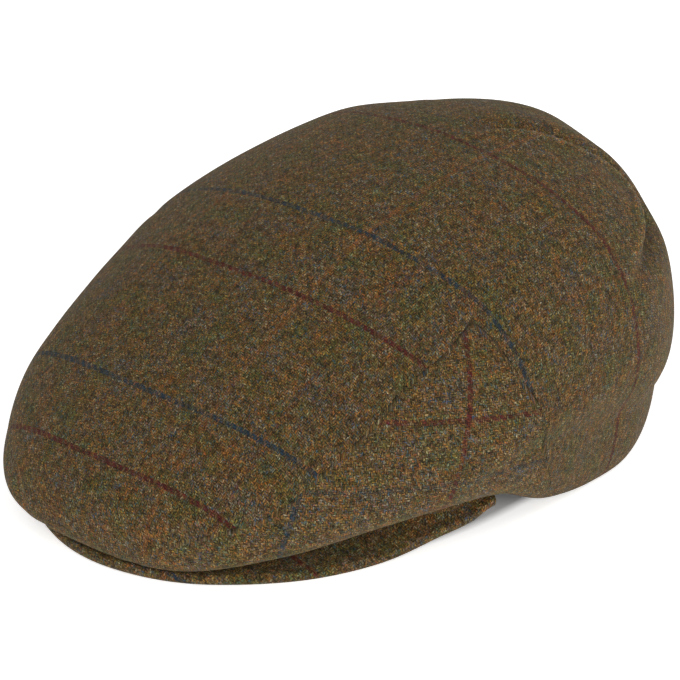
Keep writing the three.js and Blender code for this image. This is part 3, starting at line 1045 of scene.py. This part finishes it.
class Twill:
    """The 2/2 twill at each point of a piece: which yarn shows there and how high it stands.

    Each yarn passes over two others and under two, one yarn further on than its neighbour.
    """

    def __init__(self, s, seed):
        self.s = s
        self.seed = seed
        self.x, self.y = s.at("weave")
        waver = self.patches(WAVER_PATCHES) - 0.5
        self.px = self.x / YARN_PITCH + waver * WARP_WAVER
        self.py = self.y / YARN_PITCH - waver * WEFT_WAVER
        self.i, self.j = s.floor(self.px), s.floor(self.py)
        in_x, in_y = self.px - self.i, self.py - self.j
        phase = (self.i + self.j) % 4.0
        self.warp = phase < 1.5
        self.weft = 1.0 - self.warp
        along = self.warp * (phase + in_y) + self.weft * (phase - 2.0 + in_x)
        across = self.warp * in_x + self.weft * in_y
        arch = s.sine(along * (math.pi / 2))
        self.height = s.sine(across * math.pi) * (arch * 0.5 + 0.5)

    def patches(self, kind):
        """Soft patches over the cloth, from 0 to 1."""
        each_mm, shift, detail = kind
        place = self.s.vector(self.x * each_mm, self.y * each_mm, self.seed + shift)
        return self.s.noise(place, 1.0, detail)


def fleck_colour(s, twill):
    """Fibre colours in flecks that lie along the yarn that shows, with a little twist."""
    run = twill.warp * twill.py + twill.weft * twill.px
    wide = twill.warp * twill.px + twill.weft * twill.py
    place = s.vector(
        wide * FLECKS_ACROSS + run * FLECK_TWIST, run * FLECKS_ALONG, twill.warp * 9.0 + twill.seed
    )
    cell = s.node(
        "ShaderNodeTexVoronoi", {"voronoi_dimensions": "3D", "feature": "F1"},
        {"Vector": place, "Scale": 1.0, "Randomness": 1.0}, 1,
    )
    chance = s.node("ShaderNodeSeparateColor", {}, {0: cell}, 0)
    return s.node("ShaderNodeValToRGB", {"stops": FIBRES}, {0: chance})


def ground_colour(s, twill):
    """Slow changes of hue along each yarn, as in any melange."""
    warp_place = s.vector(twill.i * WARP_STEP, twill.y * STRAND_CHANGES, twill.seed + 3.0)
    weft_place = s.vector(twill.j * WEFT_STEP, twill.x * STRAND_CHANGES, twill.seed + 7.0)
    warp_hue = s.noise(warp_place, 1.0, 1.0)
    weft_hue = s.noise(weft_place, 1.0, 1.0)
    strand = twill.warp * warp_hue + twill.weft * weft_hue
    return s.mix((strand - 0.5) * STRAND_CONTRAST + 0.5, COOL_GROUND, WARM_GROUND)


def patched(s, twill, cloth):
    """The cloth's colour with its soft patches of hue, wide ones and small ones."""
    green = twill.patches(GREEN_PATCHES)
    warm = twill.patches(WARM_PATCHES)
    tint = twill.patches(TINT_PATCHES)
    cloth = s.mix((green - GREEN_FROM) * GREEN_CONTRAST, cloth, GREENISH, "MULTIPLY")
    cloth = s.mix((warm - WARM_FROM) * WARM_CONTRAST, cloth, RUSTY, "MULTIPLY")
    cloth = s.mix((SLATE_BELOW - green) * SLATE_CONTRAST, cloth, SLATE, "MULTIPLY")
    cloth = s.mix((tint - 0.5) * TINT_CONTRAST, cloth, SLATE, "MULTIPLY")
    return s.mix((0.5 - tint) * TINT_CONTRAST, cloth, RUSTY, "MULTIPLY")


def checked(s, twill, cloth, fleck, lines):
    """The cloth's colour with the check's lines, about two yarns wide and a little worn."""
    check_x, check_y = s.at("check")
    scale_x, scale_y = s.at("scale")
    worn = (twill.patches(WEAR_PATCHES) - 0.5) * WEAR_CONTRAST + 1.0
    for way, place, colour, strength in lines:
        if way == "along":
            band = abs(check_x - place) < scale_x * CHECK_HALF_WIDTH
            own, other = twill.warp, twill.weft
        else:
            band = abs(check_y - place) < scale_y * CHECK_HALF_WIDTH
            own, other = twill.weft, twill.warp
        shows = band * own * strength + band * other * (strength * CROSSED_LINE_SHARE)
        cloth = s.mix(shows * worn, cloth, s.mix(LINE_FLECK_SHARE, colour, fleck))
    return cloth


def tweed(name, lines, tone, seed):
    """Napped 2/2 twill in many fibre colours, with the check's lines.

    lines holds (which way it runs, place in mm, colour, strength); tone lightens or darkens.
    """
    s = Shader(name)
    twill = Twill(s, seed)
    fleck = fleck_colour(s, twill)
    cloth = s.mix(FLECK_SHARE, ground_colour(s, twill), fleck)
    cloth = checked(s, twill, patched(s, twill, cloth), fleck, lines)

    hair = s.noise(s.vector(twill.x, twill.y, seed), *HAIRS)
    hairy = (hair - 0.5) * HAIR_CONTRAST + 1.0
    mottled = (twill.patches(MOTTLE_PATCHES) - 0.5) * MOTTLE_CONTRAST + 1.0
    # painted shade where a yarn dips under another, lighter on its raised back
    yarn = twill.height * PAINTED_YARN_BACK_LIGHT + PAINTED_YARN_DIP_LIGHT
    # the shade map carries the back fold's painted highlight and painted shade into the colour
    light = s.at("shade")[0] * yarn * hairy * mottled * tone
    cloth = s.mix(1.0, cloth, s.vector(light, light, light), "MULTIPLY")

    relief = twill.height * YARN_RELIEF + hair * HAIR_RELIEF
    bumped = s.node(
        "ShaderNodeBump", {}, {"Strength": 0.75, "Distance": 0.00028, "Height": relief}
    )
    skin = s.node("ShaderNodeBsdfPrincipled", {}, {
        "Base Color": cloth, "Roughness": 0.98 - hair * 0.16, "Normal": bumped,
        "Specular IOR Level": 0.12, "Sheen Weight": 0.1, "Sheen Roughness": 0.5,
        "Sheen Tint": SHEEN_TINT,
    })
    s.node("ShaderNodeOutputMaterial", {}, {"Surface": skin})
    return s.material


# The check's lines on each piece: which way, place in mm, colour, strength
TOP_LINES = (
    ("along", -108.0, RUST, 0.15),
    ("along", -40.0, RUST, 0.22),
    ("along", -16.0, MAROON, 0.2),
    ("along", 28.5, RUST, 0.25),
    ("along", 52.0, MAROON, 0.25),
    ("along", 70.0, BLUE, 0.22),
    ("along", 89.0, RUST, 0.2),
    ("across", -138.0, MAROON, 0.9),
    ("across", -113.0, BLUE, 0.85),
    ("across", -63.0, MAROON, 0.85),
    ("across", -30.5, BLUE, 0.8),
    ("across", 34.0, MAROON, 0.9),
    ("across", 75.0, BLUE, 0.4),
    ("across", 128.0, MAROON, 0.65),
)


def side_lines():
    """The side panels' lines, each through one point: degrees from the front, height in mm."""
    def upright(at, height):
        return float(belly_run(at) - SIDE_LEAN * height)

    def level(at, height):
        return float(height + SIDE_CLIMB * belly_run(at))

    return (
        ("along", upright(60.3, 32), MAROON, 0.85),
        ("along", upright(30.4, 19), BLUE, 0.8),
        ("across", level(47.0, 54), MAROON, 0.7),
        ("across", level(42.9, 34), BLUE, 0.4),
    )


PEAK_LINES = (
    ("across", -90.0, MAROON, 0.85),
    ("across", -124.5, BLUE, 0.85),
    ("across", -27.0, BLUE, 0.7),
    ("along", 28.5, RUST, 0.4),
    ("along", -40.0, RUST, 0.4),
)

FACING_LINES = (
    ("across", 118.0, MAROON, 0.5),
)


# The floor glows a little as painted light, except in an oval where the cap stands, where the glow
# is kept low as a painted shadow; sizes in metres
FLOOR_PAINTED_GLOW = 0.56
FLOOR_GLOW_IN_PAINTED_SHADOW = 0.05
FLOOR_PAINTED_SHADOW_HALF_WIDTH = 0.0755
FLOOR_PAINTED_SHADOW_HALF_LENGTH = 0.1132
FLOOR_PAINTED_SHADOW_EDGE = 8.0


def grey(value):
    return (value, value, value, 1)


def pale_floor_material():
    """White paper with a painted glow, kept low in an oval under the cap as a painted shadow."""
    s = Shader("pale_floor")
    place = s.node("ShaderNodeTexCoord", {}, {}, 3)
    grain = s.noise(place, 40.0, 3.0)
    tone = s.mix(grain * 0.03, grey(0.93), grey(0.88))
    x = s.node("ShaderNodeSeparateXYZ", {}, {0: place}, 0) / FLOOR_PAINTED_SHADOW_HALF_WIDTH
    y = s.node("ShaderNodeSeparateXYZ", {}, {0: place}, 1) / FLOOR_PAINTED_SHADOW_HALF_LENGTH
    away = (x * x + y * y - 1.0) * FLOOR_PAINTED_SHADOW_EDGE
    # painted glow outside the oval, kept low inside it so a painted shadow stays under the cap
    painted_glow = s.mix(away, grey(FLOOR_GLOW_IN_PAINTED_SHADOW), grey(FLOOR_PAINTED_GLOW))
    skin = s.node(
        "ShaderNodeBsdfPrincipled", {},
        {"Base Color": tone, "Roughness": 0.9, "Specular IOR Level": 0.1,
         "Emission Color": painted_glow, "Emission Strength": 1.0},
    )
    s.node("ShaderNodeOutputMaterial", {}, {"Surface": skin})
    return s.material


# Studio

# The camera, worked out from the photograph's outline, in degrees and mm
CAMERA_TURN = 43.15
CAMERA_RISE = 24.4
CAMERA_DISTANCE = 1262.55
CAMERA_TARGET = (0, -17.5, 45)
CAMERA_ASIDE = 9.57
CAMERA_ABOVE = 1.5
CAMERA_LENS = 187.8


def studio_camera():
    turn, rise = math.radians(CAMERA_TURN), math.radians(CAMERA_RISE)
    right = Vector((math.cos(turn), math.sin(turn), 0))
    level = math.cos(rise)
    ahead = Vector((-math.sin(turn) * level, math.cos(turn) * level, -math.sin(rise)))
    up = right.cross(ahead)
    place = Vector(CAMERA_TARGET) - ahead * CAMERA_DISTANCE
    aim = Vector(CAMERA_TARGET) + right * CAMERA_ASIDE + up * CAMERA_ABOVE
    data = bpy.data.cameras.new("studio_camera")
    data.lens = CAMERA_LENS
    data.sensor_width = 36
    data.clip_start = 0.05
    data.clip_end = 20
    camera = bpy.data.objects.new("studio_camera", data)
    bpy.context.scene.collection.objects.link(camera)
    camera.location = place * MM
    camera.rotation_mode = "QUATERNION"
    camera.rotation_quaternion = (aim - place).to_track_quat("-Z", "Y")
    bpy.context.scene.camera = camera


def soft_light(name, place, target, size, power, colour):
    """A round soft lamp, at a place and turned to a target, in metres and watts."""
    data = bpy.data.lights.new(name, "AREA")
    data.shape = "DISK"
    data.size = size
    data.energy = power
    data.color = colour
    lamp = bpy.data.objects.new(name, data)
    bpy.context.scene.collection.objects.link(lamp)
    lamp.location = place
    lamp.rotation_mode = "QUATERNION"
    lamp.rotation_quaternion = (Vector(target) - Vector(place)).to_track_quat("-Z", "Y")


# The studio's white sky, what its lamps point at in metres, and the colours of their light
SKY_STRENGTH = 0.56
CAP_MIDDLE = (0, 0, 0.05)
CAP_UPPER_PART = (0, 0, 0.08)
WARM_WHITE = (1, 0.98, 0.94)
SOFT_WHITE = (1, 0.99, 0.96)


def studio():
    """The floor, a white sky and three lamps."""
    clear_selection()
    bpy.ops.mesh.primitive_plane_add(size=6, location=(0, 0, 0))
    floor = bpy.context.object
    floor.name = "studio_floor"
    floor.data.materials.append(pale_floor_material())
    world = bpy.data.worlds.new("studio_world")
    bpy.context.scene.world = world
    world.use_nodes = True
    sky = world.node_tree.nodes["Background"]
    sky.inputs["Color"].default_value = (1, 1, 1, 1)
    sky.inputs["Strength"].default_value = SKY_STRENGTH
    soft_light("key_light", (0.2, -1.5, 1.2), CAP_MIDDLE, 1.2, 9, WARM_WHITE)
    soft_light("side_light", (1.5, -0.5, 0.7), CAP_MIDDLE, 1.0, 11, SOFT_WHITE)
    soft_light("back_light", (0.7, 1.3, 1.1), CAP_UPPER_PART, 0.8, 6, WARM_WHITE)
    bpy.context.scene.view_settings.view_transform = "Standard"
    bpy.context.scene.view_settings.look = "None"


def make_cap():
    """The four cloths, and the cap's five pieces made from them."""
    top_cloth = tweed("top_tweed", TOP_LINES, 0.9, 0.0)
    side_cloth = tweed("side_tweed", side_lines(), 0.95, 21.0)
    peak_cloth = tweed("peak_tweed", PEAK_LINES, 1.0, 43.0)
    facing_cloth = tweed("facing_tweed", FACING_LINES, 1.0, 65.0)
    top_panel(top_cloth)
    side_panel(1, "side_panel_left", side_cloth)
    side_panel(-1, "side_panel_right", side_cloth)
    peak(peak_cloth)
    lip_facing(facing_cloth)


make_cap()
studio()
studio_camera()
